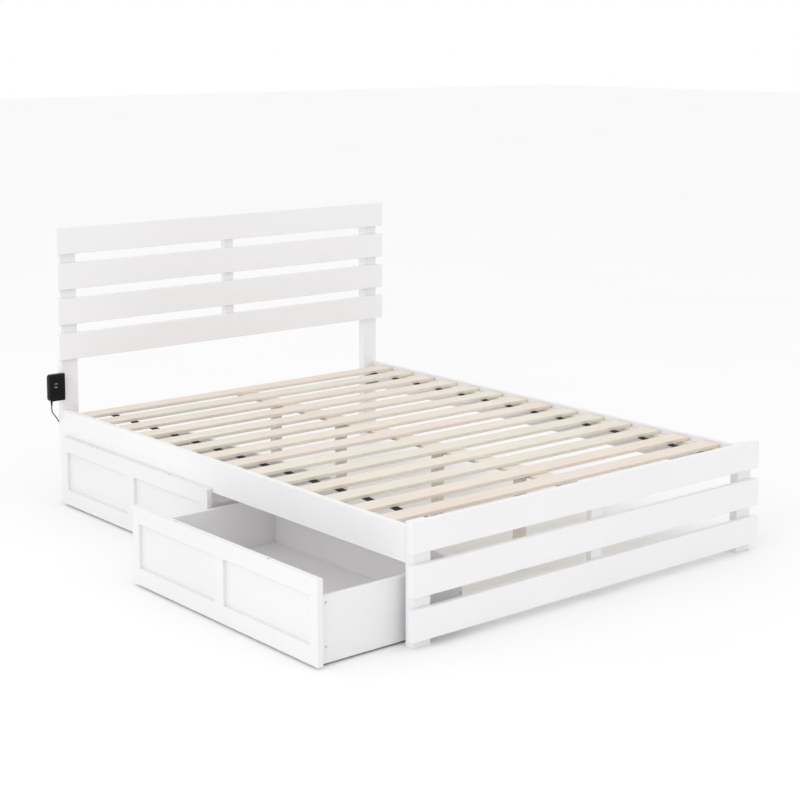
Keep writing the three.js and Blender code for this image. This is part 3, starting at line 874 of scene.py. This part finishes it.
def boxes_piece(name, boxes, rounding, material, seed):
    """Boards given as (low, high, grain), each with its own number, as one piece."""
    draw = random.Random(seed)
    mesh = bmesh.new()
    grain_layer = mesh.verts.layers.float_vector.new("grain")
    board_layer = mesh.verts.layers.float.new("board")
    for low, high, grain in boxes:
        number = draw.random()
        for point in add_box(mesh, low, high):
            point[grain_layer] = axes[grain]
            point[board_layer] = number
    bmesh.ops.bevel(mesh, geom=mesh.edges[:], offset=rounding, segments=2, profile=0.5, affect="EDGES")
    return new_piece(name, mesh_data(mesh, name, turn_out=False), material, smooth=False)


def add_front(prefix, body, seed):
    """The drawer's framed front: two end stiles, two rails, a centre stile and two sunk panels."""
    low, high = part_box(f"{prefix}_drawer_front")
    x0, x1 = low.x, high.x
    foot_edge, head_edge = low.y + end_stile, high.y - end_stile
    sill, lintel = low.z + bottom_rail, high.z - top_rail
    middle_y = (low.y + high.y) / 2
    centre = (middle_y - centre_stile / 2, middle_y + centre_stile / 2)
    boxes = [((x0, low.y, low.z), (x1, foot_edge, high.z), "z"),
             ((x0, head_edge, low.z), (x1, high.y, high.z), "z"),
             ((x0, foot_edge, low.z), (x1, head_edge, sill), "y"),
             ((x0, foot_edge, lintel), (x1, head_edge, high.z), "y"),
             ((x0, centre[0], sill), (x1, centre[1], lintel), "z")]
    boxes += [((x0 + panel_recess, y0 - panel_lap, sill - panel_lap),
               (x1 - panel_back, y1 + panel_lap, lintel + panel_lap), "y")
              for y0, y1 in ((foot_edge, centre[0]), (centre[1], head_edge))]
    front = boxes_piece(f"{prefix}_drawer_framed_front", boxes, front_joint, drawer_white, seed)
    finish_piece(front, body, [f"{prefix}_drawer_front"])


screw_cover = moulded_material("screw_cover", (0.05, 0.05, 0.05), (0.09, 0.09, 0.09),
                               0.5, 0.6, 900.0, 0.0001)
wheel_grey = moulded_material("wheel_plastic", (0.07, 0.07, 0.072), (0.12, 0.12, 0.122),
                              0.42, 0.58, 700.0, 0.0001)
axle_radius, axle_spare, cap_radius, cap_length = 0.0028, 0.0035, 0.0052, 0.0022
housing_wide, housing_tall, housing_thick = 0.046, 0.026, 0.0020
housing_rise, housing_screw = 0.0145, 0.017


def turned_rod(radius, length, chamfer=0.0006):
    """A round rod along +Y from y = 0, with a small chamfer at its far end."""
    mesh = bmesh.new()
    rings = [[mesh.verts.new((x, y, z)) for x, z in circle(wide)]
             for y, wide in ((0, radius), (length - chamfer, radius), (length, radius - chamfer))]
    for a, b in zip(rings, rings[1:]):
        span(mesh, a, b)
    mesh.faces.new(rings[0])
    mesh.faces.new(rings[-1])
    return mesh_data(mesh, "rod")


# Heights of the screws through a side, as shares of it, behind the front and into the back.
front_screw_line, front_screws, back_screws = 0.022, (0.25, 0.905), (0.15, 0.5, 0.85)


def add_drawer(prefix, seed):
    body = f"{prefix}_drawer"
    add_front(prefix, body, seed)
    front_low, front_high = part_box(f"{prefix}_drawer_front")
    boxes, nodes = [], []
    for part, grain in (("foot_side", "x"), ("head_side", "x"), ("back", "y"), ("bottom", "y")):
        node = f"{prefix}_drawer_{part}"
        low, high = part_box(node)
        boxes.append((low, high, grain))
        nodes.append(node)
    finish_piece(boxes_piece(f"{prefix}_drawer_box", boxes, box_round, drawer_white, seed + 1),
                 body, nodes)
    spots = []
    back_low, back_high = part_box(f"{prefix}_drawer_back")
    back_middle = (back_low.x + back_high.x) / 2
    for part, way in (("foot_side", Vector((0, -1, 0))), ("head_side", Vector((0, 1, 0)))):
        low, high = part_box(f"{prefix}_drawer_{part}")
        face_y = low.y if way.y < 0 else high.y
        for x, shares in ((front_high.x + front_screw_line, front_screws), (back_middle, back_screws)):
            spots += [((x, face_y, low.z + share * (high.z - low.z)), way) for share in shares]
    add_fasteners(f"{prefix}_drawer_screws", wood_screw, spots, zinc, body, seed + 2)
    quarter = (front_high.y - front_low.y) / 4
    top_spots = [(((front_low.x + front_high.x) / 2, front_low.y + k * quarter, front_high.z - 0.0003),
                  Vector((0, 0, 1))) for k in (1, 3)]
    add_fasteners(f"{prefix}_drawer_top_plugs", screw_head("top_plug", 0.0035, 0.0004,
                  cross_outline(0.0018, 0.0005), 0.0008), top_spots, screw_cover, body, seed + 3)
    parts, housing_spots = [], []
    for across in ("front", "back"):
        for end in ("foot", "head"):
            node = f"{prefix}_drawer_wheel_{across}_{end}"
            low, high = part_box(node)
            middle = (low + high) / 2
            side_low, side_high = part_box(f"{prefix}_drawer_{end}_side")
            inner_y, wheel_far, turn, sign = (
                (side_high.y, high.y, 0, 1) if end == "foot" else (side_low.y, low.y, 2, -1))
            plate_z = side_low.z + housing_rise
            for part, y, z in [
                    (plate_mesh(housing_wide, housing_tall, housing_thick, 0.004), inner_y, plate_z),
                    (turned_rod(axle_radius, abs(wheel_far - inner_y) + axle_spare), inner_y, middle.z),
                    (turned_rod(cap_radius, cap_length), wheel_far + sign * 0.0008, middle.z)]:
                parts.append((turned(part, turn, (middle.x, y, z)), zinc))
            for along in (-housing_screw, housing_screw):
                housing_spots.append(((middle.x + along, inner_y + sign * housing_thick, plate_z),
                                      (0, sign, 0)))
    housings = link_object(f"{prefix}_drawer_axles", join_meshes(f"{prefix}_drawer_axles", parts))
    finish_piece(housings, body)
    add_fasteners(f"{prefix}_drawer_axle_screws", bracket_screw, housing_spots, zinc, body, seed + 4)


add_drawer("foot", 51)
add_drawer("head", 61)
for node, cad_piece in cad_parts.items():
    if "_drawer_wheel_" in node:
        cad_piece.data.materials.clear()
        cad_piece.data.materials.append(wheel_grey)

# ---------------------------------------------------------------------------
# The charger: a glossy black block moulded in two halves, with two nickel-lined
# sockets in its face. A lug behind it is screwed to the head post's outer side,
# and the lead leaves through a ribbed relief under it.
charger_black = moulded_material("charger_plastic", (0.002, 0.002, 0.0022), (0.005, 0.005, 0.0052),
                                 0.30, 0.42, 1500.0, 0.00005, specular=0.18)
socket_grey = moulded_material("socket_plastic", (0.52, 0.52, 0.53), (0.60, 0.60, 0.61),
                               0.4, 0.5, 900.0, 0.0001)
charger_low, charger_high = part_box("charger_body")
post_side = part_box("head_post_left")[0].x - 0.0003
block_depth, block_height, block_round, block_edge = 0.025, 0.104, 0.012, 0.002
socket_x, socket_half, socket_depth = post_side - 0.040, (0.0065, 0.00275), 0.009
socket_heights = [charger_high.z - drop for drop in (0.037, 0.050)]
lug_thickness, lug_height = 0.012, 0.060


def block_outline(inset):
    """The block's outline, drawn in by inset, with its outer corners fully rounded."""
    edge, outer = (max(corner - inset, 0.0003) for corner in (block_edge, block_round))
    middle_x, half_x = (charger_low.x + charger_high.x) / 2, (charger_high.x - charger_low.x) / 2
    return rounded_outline(middle_x, charger_high.z - block_height / 2, half_x - inset,
                           block_height / 2 - inset, edge, outer, outer, edge, steps=8)


def charger_block():
    """The two halves with the fine groove between them, and the two socket openings."""
    mesh = bmesh.new()
    front, back = charger_low.y, charger_low.y + block_depth
    rings = [[mesh.verts.new((x, y, z)) for x, z in block_outline(inset)] for y, inset in [
        (front, 0.0016), (front + 0.0005, 0.0006), (front + 0.0016, 0), (front + 0.0150, 0),
        (front + 0.0152, 0.0005), (front + 0.0158, 0.0005), (front + 0.0160, 0), (back - 0.0016, 0),
        (back - 0.0005, 0.0006), (back, 0.0016)]]
    for a, b in zip(rings, rings[1:]):
        span(mesh, a, b)
    mesh.faces.new(rings[-1])
    edges = ring_edges(mesh, rings[0])
    for height in socket_heights:
        corners = [(socket_x + sx * socket_half[0], height + sz * socket_half[1])
                   for sx, sz in ((-1, -1), (1, -1), (1, 1), (-1, 1))]
        mouth = [mesh.verts.new((x, front, z)) for x, z in corners]
        floor_ring = [mesh.verts.new((x, front + socket_depth, z)) for x, z in corners]
        edges += ring_edges(mesh, mouth)
        span(mesh, mouth, floor_ring)
        mesh.faces.new(floor_ring)
    bmesh.ops.triangle_fill(mesh, edges=edges, use_beauty=True)
    return mesh_data(mesh, "block")


lug = soft_box((post_side - lug_thickness, charger_low.y + block_depth - 0.001,
                charger_high.z - (block_height + lug_height) / 2),
               (post_side, charger_high.y, charger_high.z - (block_height - lug_height) / 2), 0.0012)
relief_rings = [(-0.0012, 0.0045, 0.0045)]
for rib in range(5):
    start, swell = 0.0006 + rib * 0.0034, 0.0045 - 0.00024 * rib
    relief_rings += [(start + along, swell - thinner, swell - thinner) for along, thinner in
                     ((0, 0), (0.0020, 0.0001), (0.0022, 0.0008), (0.0032, 0.0008))]
relief_rings.append((0.0179, 0.0027, 0.0027))
charger_relief = loft("charger_relief", relief_rings, 24, 1.0)
relief_top = Vector((*cord_route[0][:2], charger_high.z - block_height))
charger_relief.transform(Matrix.Translation(relief_top) @ Matrix.Rotation(math.pi / 2, 4, "Y"))
socket_floor = charger_low.y + socket_depth
charger_parts = [(charger_block(), charger_black), (lug, charger_black), (charger_relief, charger_black)]
for height in socket_heights:
    shell = band_mesh("shell", rounded_outline(socket_x, height, 0.0060, 0.00225, 0.0004),
                      rounded_outline(socket_x, height, 0.0064, 0.00265, 0.0008),
                      charger_low.y - 0.0002, socket_floor - 0.0005)
    tongue = soft_box((socket_x - 0.0052, charger_low.y + 0.0008, height + 0.0002),
                      (socket_x + 0.0052, socket_floor, height + 0.0018), 0.0003)
    charger_parts += [(shell, nickel), (tongue, socket_grey)]
    for contact in (-0.0035, -0.0012, 0.0012, 0.0035):
        strip = soft_box((socket_x + contact - 0.0005, charger_low.y + 0.0014, height - 0.00005),
                         (socket_x + contact + 0.0005, socket_floor, height + 0.0003), 0.0001)
        charger_parts.append((strip, nickel))
charger = link_object("charger_block", join_meshes("charger_block", charger_parts))
charger.data.shade_smooth()
charger.data.set_sharp_from_angle(angle=math.radians(35))
finish_piece(charger, "frame", ["charger_body"])
charger_middle = charger_high.z - block_height / 2
add_fasteners("charger_screws", wood_screw, [
    ((post_side - lug_thickness, charger_high.y - 0.011, charger_middle + up), (-1, 0, 0))
    for up in (-0.018, 0.018)], zinc, seed=12)

# ---------------------------------------------------------------------------
# The room: a pale plain floor and broad soft light from the foot's left.
floor_data = bpy.data.meshes.new("floor")
floor_data.from_pydata([(-40, -40, 0), (40, -40, 0), (40, 40, 0), (-40, 40, 0)], [], [(0, 1, 2, 3)])
floor_material, floor_tree, floor_shader = new_material("floor", Roughness=0.9)
floor_place = add_node(floor_tree, "ShaderNodeTexCoord").outputs["Object"]
floor_drift = add_node(floor_tree, "ShaderNodeTexNoise", {"Vector": floor_place, "Scale": 0.8})
floor_colour = mix(floor_tree, floor_drift.outputs["Fac"], (0.93, 0.93, 0.93), (0.96, 0.96, 0.96))
floor_tree.links.new(floor_colour, floor_shader.inputs["Base Color"])
floor = new_piece("floor", floor_data, floor_material, smooth=False)

world = bpy.data.worlds.new("room")
scene.world = world
world.use_nodes = True
world.node_tree.nodes["Background"].inputs["Color"].default_value = (1.0, 1.0, 1.0, 1)
world.node_tree.nodes["Background"].inputs["Strength"].default_value = 1.0


def add_area_light(name, place, target, size, power):
    data = bpy.data.lights.new(name, "AREA")
    data.shape, data.size, data.energy = "DISK", size, power
    light = link_object(name, data)
    light.location = place
    light.rotation_euler = (Vector(target) - Vector(place)).to_track_quat("-Z", "Y").to_euler()


add_area_light("key", (-7.0, -2.0, 3.6), (0, 0, 0.3), 5.0, 95.0)
add_area_light("fill", (2.5, -6.0, 4.5), (0, 0, 0.3), 4.0, 12.0)
